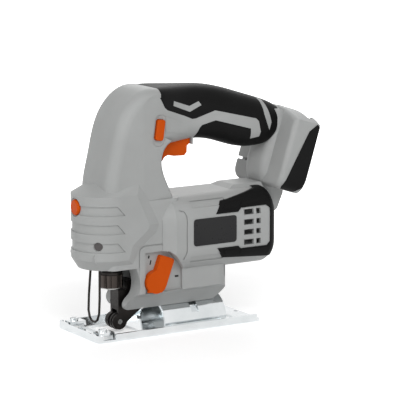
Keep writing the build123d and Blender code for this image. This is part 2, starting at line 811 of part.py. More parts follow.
shaft_face = hub_face - selector_seat
flat = selector_x - selector_shaft_radius + 1.8
selector_shaft = combine(
    rod(selector_shaft_radius, (selector_x, shaft_face, selector_z), (selector_x, 17, selector_z)),
    minus=[block((flat - 10, flat), (-6, 6), (selector_z - 10, selector_z + 10))],
)
export(selector_shaft, "selector_shaft")

# ------------------------------------------------------------------ roller guide
with BuildPart() as roller_bracket:
    with BuildSketch(Plane.XZ):
        Polygon((-42, 14), (-42, 33.6), (-34.4, 33.6), (-34.4, 14), align=None)
        Polygon(
            (roller_x - 1, roller_z - 6.4), (roller_x, roller_z + 6), (-25.5, pivot_z + 5), (-21.5, pivot_z - 4.3),
            align=None,
        )
        with Locations((roller_x, roller_z)):
            Circle(6.4)
        with Locations((pivot_x, pivot_z)):
            Circle(5.0)
            Circle(pivot_radius + bearing_gap, mode=Mode.SUBTRACT)
        with Locations((-31.5, 19.5)):
            Circle(2.2, mode=Mode.SUBTRACT)
    extrude(amount=bracket_half, both=True)
    with BuildSketch(Plane.XZ):
        with Locations((roller_x, roller_z)):
            Circle(axle_radius)
    extrude(amount=bracket_half + 1, both=True, mode=Mode.SUBTRACT)
    with BuildSketch(Plane.XZ):
        Polygon((-50, -2), (-50, 17.5), (-32.6, 17.5), (-32.6, -2), align=None)
    extrude(amount=roller_width / 2 + running, both=True, mode=Mode.SUBTRACT)
export(roller_bracket, "roller_bracket")
with BuildPart() as bracket_shield:
    with BuildSketch(Plane.XZ):
        Polygon(
            (-34.4, 26.2), (-34.4, 33.6), (-34.8, 33.6), (-34.8, 40.5), (-27.5, 40.5), (-27.5, 28.5), (-31, 26.2),
            align=None,
        )
    extrude(amount=bracket_half, both=True)
export(bracket_shield, "bracket_shield")
export(combine(rod(pivot_radius, (pivot_x, -13, pivot_z), (pivot_x, 13, pivot_z))), "bracket_pin")
axle_end = bracket_half + 0.4
export(combine(rod(axle_radius, (roller_x, -axle_end, roller_z), (roller_x, axle_end, roller_z))), "roller_axle")
with BuildPart() as guide_roller:
    with BuildSketch(Plane.XY):
        Polygon(
            (axle_radius + bearing_gap, -roller_width / 2), (roller_radius, -roller_width / 2),
            (roller_radius, -1.4), (roller_groove, -0.9), (roller_groove, 0.9), (roller_radius, 1.4),
            (roller_radius, roller_width / 2), (axle_radius + bearing_gap, roller_width / 2), align=None,
        )
    revolve(axis=Axis.Y)
guide_roller.part.locate(Location((roller_x, 0, roller_z)))
export(guide_roller, "guide_roller")

# ------------------------------------------------------------------ plunger and blade clamp
rod_low = clamp_top - 5.0
rod_high = upper_bush_bottom + 12.6
export(combine(rod(plunger_radius, (plunger_x, 0, rod_low), (plunger_x, 0, rod_high))), "plunger_rod")
yoke_low = crank_pin_z - yoke_half
yoke_high = crank_pin_z + yoke_half
slot_half = crank_pin_radius + running
scotch_yoke = combine(
    block((plunger_x + 3, yoke_rear), (-17.5, 17.5), (yoke_low, yoke_high)),
    plus=[block((plunger_x - 6.5, plunger_x + 4), (-7.5, 7.5), (yoke_low, yoke_high))],
    minus=[
        block((plunger_x + plunger_radius + 1.5, yoke_rear + 1), (-14.5, 14.5), (crank_pin_z - slot_half, crank_pin_z + slot_half)),
        rod(plunger_radius, (plunger_x, 0, yoke_low - 1), (plunger_x, 0, yoke_high + 1)),
    ],
)
export(scotch_yoke, "scotch_yoke")
blade_clamp = combine(
    rod(clamp_radius, (plunger_x, 0, clamp_bottom), (plunger_x, 0, clamp_top)),
    plus=[rod(collar_radius - 0.4, (plunger_x, 0, clamp_bottom + 0.6 + collar_height), (plunger_x, 0, clamp_top - 1))],
    minus=[
        block((plunger_x - 4.25, plunger_x + 4.25), (-1, 1), (clamp_bottom - 1, clamp_bottom + 8)),
        rod(plunger_radius, (plunger_x, 0, rod_low), (plunger_x, 0, clamp_top + 1)),
    ],
)
export(blade_clamp, "blade_clamp")
ring_low = clamp_bottom - 0.7
with BuildPart() as clamp_collar:
    with BuildSketch(Plane.XY.offset(clamp_bottom + running)):
        with Locations((plunger_x, 0)):
            Circle(collar_radius)
            with PolarLocations(collar_radius, 12):
                Circle(0.7, mode=Mode.SUBTRACT)
            Circle(clamp_radius + bearing_gap, mode=Mode.SUBTRACT)
    extrude(amount=collar_height)
export(clamp_collar, "clamp_collar")
clamp_snap_ring = combine(
    rod(collar_radius - 1, (plunger_x, 0, ring_low), (plunger_x, 0, clamp_bottom)),
    minus=[rod(clamp_radius - 1.2, (plunger_x, 0, ring_low - 1), (plunger_x, 0, clamp_top))],
)
export(clamp_snap_ring, "clamp_snap_ring")
bush_hole = plunger_radius + bearing_gap
lower_bush = combine(
    rod(bush_radius, (plunger_x, 0, lower_bush_bottom), (plunger_x, 0, lower_bush_bottom + bush_length)),
    plus=[rod(bush_radius + 1.5, (plunger_x, 0, lower_bush_bottom), (plunger_x, 0, lower_bush_bottom + 1))],
    minus=[rod(bush_hole, (plunger_x, 0, 60), (plunger_x, 0, 100))],
)
export(lower_bush, "lower_bush")
upper_bush = combine(
    rod(bush_radius, (plunger_x, 0, upper_bush_bottom), (plunger_x, 0, upper_bush_bottom + bush_length)),
    minus=[rod(bush_hole, (plunger_x, 0, 110), (plunger_x, 0, 140))],
)
export(upper_bush, "upper_bush")

# ------------------------------------------------------------------ gear train
lower_arm = (lower_bush_bottom + 1, lower_bush_bottom + 8)
gear_frame = combine(
    block((frame_plate_front, frame_plate_rear), (-18, 18), (64, 121)),
    plus=[
        block((plunger_x - 9.5, frame_plate_rear - 1), (-12, 12), lower_arm),
        block((plunger_x - 9.5, frame_plate_rear - 3), (-9, 9), (upper_bush_bottom, upper_bush_bottom + 9)),
    ],
    minus=[
        block((gear_front - 2.5, frame_plate_front), (-6, 6), (60, 84)),
        rod(bush_radius, (plunger_x, 0, 60), (plunger_x, 0, 140)),
        rod(shaft_radius + 1.5, (-40, 0, motor_axis_z), (0, 0, motor_axis_z)),
        rod(bearing_radius, (frame_plate_rear - bearing_width, 0, motor_axis_z), (0, 0, motor_axis_z)),
        rod(gear_shaft_radius, (-40, 0, gear_axis_z), (0, 0, gear_axis_z)),
    ],
)
export(gear_frame, "gear_frame")


def toothed_wheel(teeth, front, width, turn):
    """Plan of a spur wheel in the YZ plane, one tooth at `turn` degrees from +Y."""
    pitch_radius = gear_module * teeth / 2
    root = pitch_radius - gear_module
    tip = pitch_radius + 0.8 * gear_module
    half_root = 0.50 * gear_module / root
    half_pitch = 0.34 * math.pi * gear_module / 2 / pitch_radius
    half_tip = 0.22 * gear_module / tip
    points = []
    for tooth in range(teeth):
        middle = math.radians(turn) + 2 * math.pi * tooth / teeth
        for radius, angle in (
            (root, -2.0 * half_root), (root, -half_root), (pitch_radius, -half_pitch), (tip, -half_tip),
            (tip, half_tip), (pitch_radius, half_pitch), (root, half_root),
        )[1:]:
            points.append((radius * math.cos(middle + angle), radius * math.sin(middle + angle)))
    with BuildPart() as wheel:
        with BuildSketch(Plane.YZ.offset(front)):
            Polygon(*points, align=None)
        extrude(amount=width)
    return wheel.part


gear_wheel = toothed_wheel(gear_teeth, gear_front, gear_width, -90)
gear_wheel.locate(Location((0, 0, gear_axis_z)))
pin_end = yoke_rear + running
drive_gear = combine(
    gear_wheel,
    plus=[
        rod(8.0, (gear_front, 0, gear_axis_z), (frame_plate_front - 1, 0, gear_axis_z)),
        rod(crank_pin_radius, (pin_end, 0, crank_pin_z), (gear_front + 1, 0, crank_pin_z)),
    ],
    minus=[rod(gear_shaft_radius + bearing_gap, (-40, 0, gear_axis_z), (-10, 0, gear_axis_z))]
    + [
        rod(4.2, (-40, 11.5 * math.cos(angle), gear_axis_z + 11.5 * math.sin(angle)), (-10, 11.5 * math.cos(angle), gear_axis_z + 11.5 * math.sin(angle)))
        for angle in (math.radians(20), math.radians(90), math.radians(160))
    ],
)
export(drive_gear, "drive_gear")
export(combine(rod(gear_shaft_radius, (gear_front - 0.5, 0, gear_axis_z), (frame_plate_rear, 0, gear_axis_z))), "gear_shaft")

pinion_blank = toothed_wheel(pinion_teeth, gear_front - 0.5, gear_width + 1, 90 + 180 / pinion_teeth)
pinion_blank.locate(Location((0, 0, motor_axis_z)))
shaft_front = gear_front - 1.5
shaft_rear = motor_rear + 8.0
pinion = combine(pinion_blank, minus=[rod(shaft_radius, (-40, 0, motor_axis_z), (0, 0, motor_axis_z))])
export(pinion, "pinion")

# ------------------------------------------------------------------ motor
export(combine(rod(shaft_radius, (shaft_front, 0, motor_axis_z), (shaft_rear, 0, motor_axis_z))), "rotor_shaft")
with BuildPart() as rotor_core:
    with BuildSketch(Plane.YZ.offset(motor_front + 10)):
        with Locations((0, motor_axis_z)):
            Circle(16.8)
            with PolarLocations(13.2, 10):
                Rectangle(8.6, 2.2, mode=Mode.SUBTRACT)
            Circle(shaft_radius, mode=Mode.SUBTRACT)
    extrude(amount=30)
export(rotor_core, "rotor_core")


def ring(outer, inner, front, rear):
    """A tube about the motor axis."""
    with BuildPart() as tube:
        with BuildSketch(Plane.YZ.offset(front)):
            with Locations((0, motor_axis_z)):
                Circle(outer)
                Circle(inner, mode=Mode.SUBTRACT)
        extrude(amount=rear - front)
    return tube.part


export(combine(ring(8.0, shaft_radius, 47, 55)), "commutator")
fan_front = -6.0
fan_rear = 2.0
fan_blades = [
    block((fan_front + 1.5, fan_rear), (4, fan_radius - 0.6), (-0.7, 0.7)).rotate(Axis.X, 360 / 12 * step)
    for step in range(12)
]
fan_places = [blade.moved(Location((0, 0, motor_axis_z))) for blade in fan_blades]
fan = combine(
    ring(fan_radius, shaft_radius, fan_front, fan_front + 1.5),
    plus=[ring(6.0, shaft_radius, fan_front, fan_rear)] + fan_places,
)
export(fan, "fan")
export(combine(ring(bearing_radius, shaft_radius + bearing_gap, frame_plate_rear - bearing_width, frame_plate_rear)), "front_bearing")
bell_front = motor_rear
bell_rear = motor_rear + 8.0
rear_bearing_front = bell_rear - 6.0
export(combine(ring(bearing_radius, shaft_radius + bearing_gap, rear_bearing_front, rear_bearing_front + bearing_width)), "rear_bearing")
can_inner = motor_radius - motor_can
motor_can_part = combine(
    ring(motor_radius, can_inner, motor_front, motor_rear), plus=[ring(motor_radius, 5.0, motor_front, motor_front + 1.5)]
)
export(motor_can_part, "motor_can")
magnet_ring = combine(
    ring(can_inner, 17.6, motor_front + 6, motor_rear - 8),
    minus=[block((0, 60), (-30, 30), (motor_axis_z - 4, motor_axis_z + 4))],
)
export(magnet_ring, "motor_magnets")
brush_front = 49.5
brush_rear = 53.5
end_bell_plus = []
brush_ways = []
brushes = []
for side in (-1, 1):
    end_bell_plus.append(block((48.5, 57), sorted((side * 11.0, side * (can_inner - 1.2))), (motor_axis_z - 5, motor_axis_z + 5)))
    brush_ways.append(block((brush_front, brush_rear), sorted((side * 8.3, side * 17.0)), (motor_axis_z - 3, motor_axis_z + 3)))
motor_end_bell = combine(
    ring(motor_radius, shaft_radius + 0.6, bell_front, bell_rear),
    plus=end_bell_plus,
    minus=[ring(bearing_radius, 0.5, rear_bearing_front, bell_rear + 1)] + brush_ways,
)
export(motor_end_bell, "motor_end_bell")
export(combine(brush_ways[0], plus=brush_ways[1:]), "carbon_brushes")

# ------------------------------------------------------------------ battery contacts
with BuildPart() as battery_terminals:
    with BuildSketch(dock_plane.offset(-rail_depth)):
        with Locations((0, 20)):
            Rectangle(34, 14)
    extrude(amount=3.5)
    with BuildSketch(dock_plane.offset(-rail_depth + 3.5)):
        for place in (-12, -6, 6, 12):
            with Locations((place, 21)):
                Rectangle(1.0, 10)
    extrude(amount=3.0)
export(battery_terminals, "battery_terminals")

# ------------------------------------------------------------------ blade guard wire
with BuildPart() as blade_guard:
    for start, end in zip(guard_points, guard_points[1:]):
        add(rod(guard_wire, start, end))
    for joint in guard_points[1:-1]:
        with Locations(joint):
            Sphere(guard_wire)
export(blade_guard, "blade_guard")


# ------------------------------------------------------------------ sole
rivet_places = [(x, side * 22.6) for x in (-1.0, 44.0) for side in (-1, 1)]
half_length = sole_length / 2
half_width = sole_width / 2
fence_centres = [(fence_x, side * fence_y) for side in (-1, 1)]
screw_x = fence_x - 1.0
strap_low = sheet + strap_lift
strap_high = strap_low + sheet
strap_profile = (
    (-8.0, 0), (-8.0, sheet), (-7.4, sheet), (-6.8, strap_high), (6.8, strap_high), (7.4, sheet), (8.0, sheet),
    (8.0, 0), (5.6, 0), (5.3, strap_low), (-5.3, strap_low), (-5.6, 0),
)
with BuildPart() as base_plate:
    with BuildSketch(Plane.XY):
        RectangleRounded(sole_length, sole_width, 4)
        RectangleRounded(sole_length - 2 * sheet, sole_width - 2 * sheet, 2, mode=Mode.SUBTRACT)
    extrude(amount=flange_height)
    for side in (-1, 1):
        with BuildSketch(Plane.XY.offset(sheet)):
            with Locations(((fence_x - 0.5, side * half_width))):
                Rectangle(11.0, 6.0)
        extrude(amount=10, mode=Mode.SUBTRACT)
    with BuildSketch(Plane.XY.offset(sheet)):
        with Locations((half_length, 0)):
            Rectangle(8.0, sole_width)
    extrude(amount=10, mode=Mode.SUBTRACT)
    with BuildSketch(Plane.XY):
        RectangleRounded(sole_length, sole_width, 4)
        with Locations(((window_front + window_rear) / 2, 0)):
            RectangleRounded(window_rear - window_front, 2 * window_half, 3, mode=Mode.SUBTRACT)
        with Locations((56, 0)):
            RectangleRounded(7, 40, 2, mode=Mode.SUBTRACT)
        with Locations((23, 0)):
            RectangleRounded(22, 18, 2, mode=Mode.SUBTRACT)
        with Locations((-13, 0)):
            Circle(2.5, mode=Mode.SUBTRACT)
        with Locations((71.5, 0)):
            Circle(1.6, mode=Mode.SUBTRACT)
        with Locations(*fence_centres):
            Rectangle(12.0, strap_width + 4, mode=Mode.SUBTRACT)
        with Locations(*rivet_places):
            Circle(1.5, mode=Mode.SUBTRACT)
    extrude(amount=sheet)
    with BuildSketch(Plane.XZ):
        Polygon(*[(fence_x + x, z) for x, z in strap_profile], align=None)
    extrude(amount=fence_y + strap_width / 2, both=True)
    with BuildSketch(Plane.XZ):
        with Locations((fence_x, sheet + 5)):
            Rectangle(20, 10)
    extrude(amount=fence_y - strap_width / 2, both=True, mode=Mode.SUBTRACT)
    with BuildSketch(Plane.XY):
        with Locations(*[(screw_x, side * fence_y) for side in (-1, 1)]):
            Circle(1.75)
    extrude(amount=20, mode=Mode.SUBTRACT)
export(base_plate, "base_plate")

fence_screws = combine(
    rod(1.75, (screw_x, -fence_y, strap_low), (screw_x, -fence_y, strap_high)),
    plus=[
        rod(3.3, (screw_x, -fence_y, strap_high), (screw_x, -fence_y, strap_high + 2.4)),
        rod(1.75, (screw_x, fence_y, strap_low), (screw_x, fence_y, strap_high)),
        rod(3.3, (screw_x, fence_y, strap_high), (screw_x, fence_y, strap_high + 2.4)),
    ],
    minus=[
        block((screw_x - 4, screw_x + 4), (side * fence_y - 0.5, side * fence_y + 0.5), (strap_high + 1.4, 20))
        for side in (-1, 1)
    ],
)
export(fence_screws, "fence_screws")

# cradle: half pipe with feet, slotted across for the tilt screw
foot_top = sheet + 1.5
with BuildPart() as bevel_cradle:
    with BuildSketch(Plane.YZ.offset(cradle_front)):
        with Locations((0, sheet)):
            Circle(cradle_radius)
            Circle(cradle_radius - 2.0, mode=Mode.SUBTRACT)
        with Locations((0, -30 + sheet)):
            Rectangle(100, 60, mode=Mode.SUBTRACT)
        for side in (-1, 1):
            with Locations((side * (cradle_radius + 2.2), sheet + 0.75)):
                Rectangle(6.4, 1.5)
    extrude(amount=cradle_rear - cradle_front)
    for step in range(-54, 55, 9):
        turn = math.radians(step)
        direction = (0, math.sin(turn), math.cos(turn))
        with BuildSketch(Plane(origin=(bevel_screw_x, 0, sheet), x_dir=(1, 0, 0), z_dir=direction)):
            Rectangle(2 * (bevel_screw_radius + running), 6.6)
        extrude(amount=cradle_radius + 5, mode=Mode.SUBTRACT)
    with BuildSketch(Plane.XY.offset(sheet)):
        with Locations(*rivet_places):
            Circle(1.5)
    extrude(amount=5, mode=Mode.SUBTRACT)
export(bevel_cradle, "bevel_cradle")

with BuildPart() as cradle_rivets:
    with BuildSketch(Plane.XY):
        with Locations(*rivet_places):
            Circle(1.5)
    extrude(amount=foot_top + 0.9)
    with BuildSketch(Plane.XY.offset(foot_top)):
        with Locations(*rivet_places):
            Circle(2.4)
    extrude(amount=0.9)
export(cradle_rivets, "cradle_rivets")

# tilt screw and the curved washer it pulls against the cradle
plate_outer = cradle_radius - 2.0 - running
plate_inner = plate_outer - 2.4
plate_half = plate_inner * 0.8 - 0.6  # stays clear of the sole at the ends of the tilt
with BuildPart() as bevel_clamp_plate:
    with BuildSketch(Plane.YZ.offset(bevel_screw_x - 7)):
        with Locations((0, sheet)):
            Circle(plate_outer)
            Circle(plate_inner, mode=Mode.SUBTRACT)
        with Locations((0, sheet + plate_inner * 0.8 - 30)):
            Rectangle(100, 60, mode=Mode.SUBTRACT)
        for side in (-1, 1):
            with Locations((side * (plate_half + 10), sheet + 15)):
                Rectangle(20, 30, mode=Mode.SUBTRACT)
    extrude(amount=14)
    add(rod(bevel_screw_radius, (bevel_screw_x, 0, 5), (bevel_screw_x, 0, 40)), mode=Mode.SUBTRACT)
    add(rod(5.0, (bevel_screw_x, 0, 5), (bevel_screw_x, 0, sheet + plate_inner + 0.4)), mode=Mode.SUBTRACT)
export(bevel_clamp_plate, "bevel_clamp_plate")
head_top_z = sheet + plate_inner + 0.4
bevel_screw = combine(
    rod(bevel_screw_radius, (bevel_screw_x, 0, head_top_z - 2), (bevel_screw_x, 0, 32)),
    plus=[rod(5.0, (bevel_screw_x, 0, head_top_z - 4), (bevel_screw_x, 0, head_top_z))],
    minus=[rod(2.4, (bevel_screw_x, 0, 5), (bevel_screw_x, 0, head_top_z - 1.5))],
)
export(bevel_screw, "bevel_screw")

# ------------------------------------------------------------------ clamshell screws
with BuildPart() as housing_screws:
    for x, z, half, seat in screw_table:
        add(rod(screw_radius, (x, screw_end, z), (x, seat, z)))
        add(rod(screw_head, (x, seat, z), (x, seat + screw_head_height, z)))
        add(rod(1.3, (x, seat + 1.0, z), (x, seat + screw_head_height, z)), mode=Mode.SUBTRACT)
export(housing_screws, "housing_screws")
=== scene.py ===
"""Looks of a cordless jigsaw: finishes, light and the small pieces that sit on its frame."""

import json
import logging
import math
from dataclasses import dataclass
from enum import Enum

import bpy
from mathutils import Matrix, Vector


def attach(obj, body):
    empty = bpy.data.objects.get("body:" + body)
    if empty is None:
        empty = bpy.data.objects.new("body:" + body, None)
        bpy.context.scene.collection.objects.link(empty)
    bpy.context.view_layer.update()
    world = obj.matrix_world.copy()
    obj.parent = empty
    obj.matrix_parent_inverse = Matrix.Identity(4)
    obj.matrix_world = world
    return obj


logging.basicConfig(level=logging.INFO, format="%(message)s")
log = logging.getLogger("jigsaw")

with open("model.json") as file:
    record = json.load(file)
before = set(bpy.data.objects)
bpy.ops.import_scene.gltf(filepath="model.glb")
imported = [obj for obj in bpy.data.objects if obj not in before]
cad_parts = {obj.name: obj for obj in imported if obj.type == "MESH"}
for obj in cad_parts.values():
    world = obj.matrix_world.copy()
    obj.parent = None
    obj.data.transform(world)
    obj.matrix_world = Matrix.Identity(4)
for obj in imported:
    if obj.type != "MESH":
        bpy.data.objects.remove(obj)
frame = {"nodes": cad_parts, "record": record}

MM = 0.001

Colour = tuple[float, float, float]
Range = tuple[float, float]
Triple = tuple[float, float, float]
Outline = tuple[tuple[float, float], ...]

BLACK: Colour = (0.0, 0.0, 0.0)
WHITE: Colour = (1.0, 1.0, 1.0)
FLOOR_GREY: Colour = (0.86, 0.86, 0.86)
LENS_TINT: Colour = (0.06, 0.05, 0.05)


def mm(*values: float) -> Vector:
    """Turns millimetres in the row frame into a vector in metres.

    Args:
        values: The x, y and z of a point.

    Returns:
        The same point in metres.
    """
    return Vector(values) * MM


def opaque(colour: Colour) -> tuple[float, float, float, float]:
    """Gives a colour its full alpha."""
    return (*colour, 1.0)


# ------------------------------------------------------------------ shader graph
class Sock:
    """An output socket that combines with others, and with numbers, by plain arithmetic."""

    def __init__(self, graph: "Graph", socket: bpy.types.NodeSocket) -> None:
        """Keeps the socket and the graph that it belongs to."""
        self.graph = graph
        self.socket = socket

    def __add__(self, other: "Sock | float") -> "Sock":
        """Adds a socket or a number."""
        return self.graph.math("ADD", self, other)

    def __radd__(self, other: float) -> "Sock":
        """Adds itself to a number."""
        return self.graph.math("ADD", other, self)

    def __mul__(self, other: "Sock | float") -> "Sock":
        """Multiplies by a socket or a number."""
        return self.graph.math("MULTIPLY", self, other)

    def __rmul__(self, other: float) -> "Sock":
        """Multiplies a number by itself."""
        return self.graph.math("MULTIPLY", other, self)


class Graph:
    """A node tree that is built node by node."""

    def __init__(self, tree: bpy.types.NodeTree) -> None:
        """Keeps the tree that the nodes go into."""
        self.tree = tree

    def feed(self, socket: bpy.types.NodeSocket, value: "Sock | float | tuple | Vector") -> None:
        """Links an input or sets its value.

        Args:
            socket: The input.
            value: A node's output, or the value itself.
        """
        if isinstance(value, Sock):
            self.tree.links.new(value.socket, socket)
        else:
            socket.default_value = value

    def node(
        self, kind: str, inputs: "dict | None" = None, output: "str | int" = 0, **settings: "str | bool"
    ) -> Sock:
        """Adds a node.

        Args:
            kind: Its type, without the common prefix.
            inputs: The value or link of each input, by name or place.
            output: The output to hand back, by name or place.
            settings: Its own settings, such as an operation, which are set first.

        Returns:
            That output of the node.
        """
        made = self.tree.nodes.new(f"ShaderNode{kind}")
        for name, setting in settings.items():
            setattr(made, name, setting)
        for name, value in (inputs or {}).items():
            self.feed(made.inputs[name], value)
        return Sock(self, made.outputs[output])

    def math(self, operation: str, first: "Sock | float", second: "Sock | float") -> Sock:
        """Adds a Math node."""
        return self.node("Math", {0: first, 1: second}, operation=operation)

    def span(self, value: Sock, source: Range, target: Range) -> Sock:
        """Maps a range of a value onto another, clamped.

        Args:
            value: What is mapped.
            source: Its lowest and highest value.
            target: What those two become.

        Returns:
            The mapped value.
        """
        return self.node("MapRange", dict(enumerate((value, *source, *target))), clamp=True)

    def seen_or_mirrored(self) -> Sock:
        """Is 1 where the camera looks, straight or by a reflection, and 0 for the light given off."""
        straight, mirrored, through = (
            self.node("LightPath", output=f"Is {ray} Ray") for ray in ("Camera", "Glossy", "Transmission")
        )
        return straight + mirrored + through


class Surface(Graph):
    """The node tree of one material, whose patterns lie in the row frame."""

    def __init__(self, name: str) -> None:
        """Makes the material, with its shader and its object coordinates.

        Args:
            name: The material's name.
        """
        self.material = bpy.data.materials.new(name)
        self.material.use_nodes = True
        super().__init__(self.material.node_tree)
        self.shader = next(node for node in self.tree.nodes if node.type == "BSDF_PRINCIPLED")
        self.place = self.node("TexCoord", output="Object")

    def distance(self, place: Vector) -> Sock:
        """How far the surface lies from a point, in metres."""
        return self.node("VectorMath", {0: self.place, 1: place}, "Value", operation="DISTANCE")

    def noise(self, scale: float, detail: float, stretch: Triple = (1.0, 1.0, 1.0)) -> Sock:
        """Adds a noise texture.

        Args:
            scale: Features per metre.
            detail: Octaves.
            stretch: Scale of each axis, for a brushed or drawn grain.

        Returns:
            The noise value, from 0 to 1.
        """
        place = self.node("Mapping", {"Scale": stretch, "Vector": self.place})
        return self.node("TexNoise", {"Scale": scale, "Detail": detail, "Vector": place})

    def blend(self, factor: Sock, first: Colour, second: Colour) -> Sock:
        """Mixes two colours by a factor.

        Args:
            factor: From 0, the first colour, to 1, the second.
            first: The first colour.
            second: The second colour.

        Returns:
            The mixed colour.
        """
        return self.node("Mix", {0: factor, 6: opaque(first), 7: opaque(second)}, 2, data_type="RGBA")

    def bump(self, height: Sock, distance: float) -> None:
        """Feeds the shader's normal.

        Args:
            height: The relief, from 0 to 1.
            distance: Its full height, in millimetres.
        """
        self.set(Normal=self.node("Bump", {"Strength": 1.0, "Distance": distance * MM, "Height": height}))

    def set(self, **inputs: "Sock | float | tuple") -> None:
        """Sets inputs of the shader, named with underscores for spaces."""
        for name, value in inputs.items():
            self.feed(self.shader.inputs[name.replace("_", " ")], value)


# ------------------------------------------------------------------ finishes
@dataclass(frozen=True)
class Moulded:
    """A moulded plastic or rubber: a base tone, a gloss and a fine eroded grain."""

    tone: Colour
    shade: Colour
    roughness: float
    grain: float
    grain_height: float
    mirror: float = 0.3
    coat: float = 0.0
    coat_roughness: float = 0.25
    cloud: Range = (28.0, 4.0)
    mottle: Range = (0.35, 0.65)
    speck_detail: float = 2.0
    cloud_share: float = 0.6
    wear: Range = (0.5, 1.1)
    duller: float = 0.07
    glossier: float = 0.05

    def build(self, name: str) -> bpy.types.Material:
        """Makes the material.

        Args:
            name: The material's name.

        Returns:
            The material.
        """
        surface = Surface(name)
        cloud = surface.noise(*self.cloud)
        speck = surface.noise(self.grain, self.speck_detail)
        gloss = (self.roughness - self.glossier, self.roughness + self.duller)
        surface.set(
            Base_Color=surface.blend(surface.span(cloud, self.mottle, (0.0, 1.0)), self.tone, self.shade),
            Roughness=surface.span(speck + cloud * self.cloud_share, self.wear, gloss),
            Metallic=0.0,
            Specular_IOR_Level=self.mirror,
            Coat_Weight=self.coat,
            Coat_Roughness=self.coat_roughness,
        )
        surface.bump(speck, self.grain_height)
        return surface.material


@dataclass(frozen=True)
class Metal:
    """A metal: plated, ground, drawn or cast."""

    tone: Colour
    shade: Colour
    roughness: float
    grain: float
    stretch: Triple
    grain_height: float
    grain_detail: float = 3.0
    cloud: Range = (45.0, 3.0)
    mottle: Range = (0.3, 0.7)
    cloud_share: float = 0.5
    wear: Range = (0.5, 1.0)
    glossiest: float = 0.7
    dullest: float = 1.4

    def build(self, name: str) -> bpy.types.Material:
        """Makes the material.

        Args:
            name: The material's name.

        Returns:
            The material.
        """
        surface = Surface(name)
        drawn = surface.noise(self.grain, self.grain_detail, self.stretch)
        cloud = surface.noise(*self.cloud)
        gloss = (self.roughness * self.glossiest, self.roughness * self.dullest)
        # The mottle between tone and shade is random tone for most metals; on zinc it is painted reflection.
        surface.set(
            Base_Color=surface.blend(surface.span(cloud, self.mottle, (0.0, 1.0)), self.tone, self.shade),
            Roughness=surface.span(drawn + cloud * self.cloud_share, self.wear, gloss),
            Metallic=1.0,
        )
        surface.bump(drawn, self.grain_height)
        return surface.material


@dataclass(frozen=True)
class ClearLens:
    """A clear moulded lens with faint ripples."""

    tint: Colour = LENS_TINT
    roughness: float = 0.12
    clear: float = 0.3
    bend: float = 1.49
    ripple: Range = (500.0, 1.0)
    ripple_height: float = 0.01

    def build(self, name: str) -> bpy.types.Material:
        """Makes the material.

        Args:
            name: The material's name.

        Returns:
            The material.
        """
        surface = Surface(name)
        surface.set(
            Base_Color=opaque(self.tint), Roughness=self.roughness, Transmission_Weight=self.clear, IOR=self.bend
        )
        surface.bump(surface.noise(*self.ripple), self.ripple_height)
        return surface.material


class Finish(Enum):
    """Every finish in the scene, by the record's slot name."""

    GREY_PLASTIC = Moulded((0.362, 0.369, 0.366), (0.338, 0.345, 0.341), 0.5, 1500.0, 0.03)
    SOFT_BLACK = Moulded((0.004, 0.004, 0.004), (0.006, 0.006, 0.006), 0.5, 1100.0, 0.05, 0.08)
    PLATE_BLACK = Moulded((0.006, 0.006, 0.007), (0.009, 0.009, 0.009), 0.3, 600.0, 0.004, 0.15, 0.15)
    ORANGE_PLASTIC = Moulded((0.56, 0.074, 0.001), (0.52, 0.068, 0.001), 0.42, 1500.0, 0.02, 0.1)
    BLACK_PLASTIC = Moulded((0.015, 0.015, 0.016), (0.022, 0.022, 0.022), 0.4, 1300.0, 0.03, 0.2)
    MAGNET = Moulded((0.06, 0.06, 0.065), (0.09, 0.09, 0.09), 0.6, 900.0, 0.05)
    STEEL = Metal((0.42, 0.42, 0.41), (0.34, 0.34, 0.33), 0.24, 260.0, (1, 1, 6), 0.004)
    DARK_STEEL = Metal((0.022, 0.020, 0.019), (0.036, 0.033, 0.031), 0.38, 300.0, (1, 1, 4), 0.01)
    # Painted reflection: the collar's tone is set darker than its own dark steel, so that it stands in for the dark
    # surroundings mirrored in it.
    COLLAR_STEEL = Metal((0.075, 0.064, 0.058), (0.045, 0.038, 0.034), 0.17, 400.0, (1, 1, 12), 0.008)
    BRONZE = Metal((0.55, 0.36, 0.16), (0.45, 0.30, 0.13), 0.45, 500.0, (1, 1, 1), 0.01)
    CAST_ALLOY = Metal((0.55, 0.56, 0.57), (0.45, 0.46, 0.47), 0.5, 400.0, (1, 1, 1), 0.04)
    # Painted reflection: zinc's darker, bluer second tone is mottled in as blotches that stand in for the teal and
    # dark surroundings mirrored on the sole's top.
    ZINC = Metal((0.80, 0.82, 0.83), (0.68, 0.71, 0.72), 0.13, 120.0, (1, 8, 1), 0.003)
    COPPER = Metal((0.75, 0.38, 0.22), (0.6, 0.3, 0.18), 0.3, 300.0, (6, 1, 1), 0.005)
    CLEAR_LENS = ClearLens()


class Palette:
    """Builds each finish once and hands it out by slot name."""

    def __init__(self) -> None:
        """Starts with nothing built."""
        self._made: dict[str, bpy.types.Material] = {}

    def __getitem__(self, slot: str) -> bpy.types.Material:
        """Gives the material of a slot.

        Args:
            slot: The record's slot name.

        Returns:
            The material, built when it is first asked for.
        """
        if slot not in self._made:
            self._made[slot] = Finish[slot.upper()].value.build(slot)
        return self._made[slot]


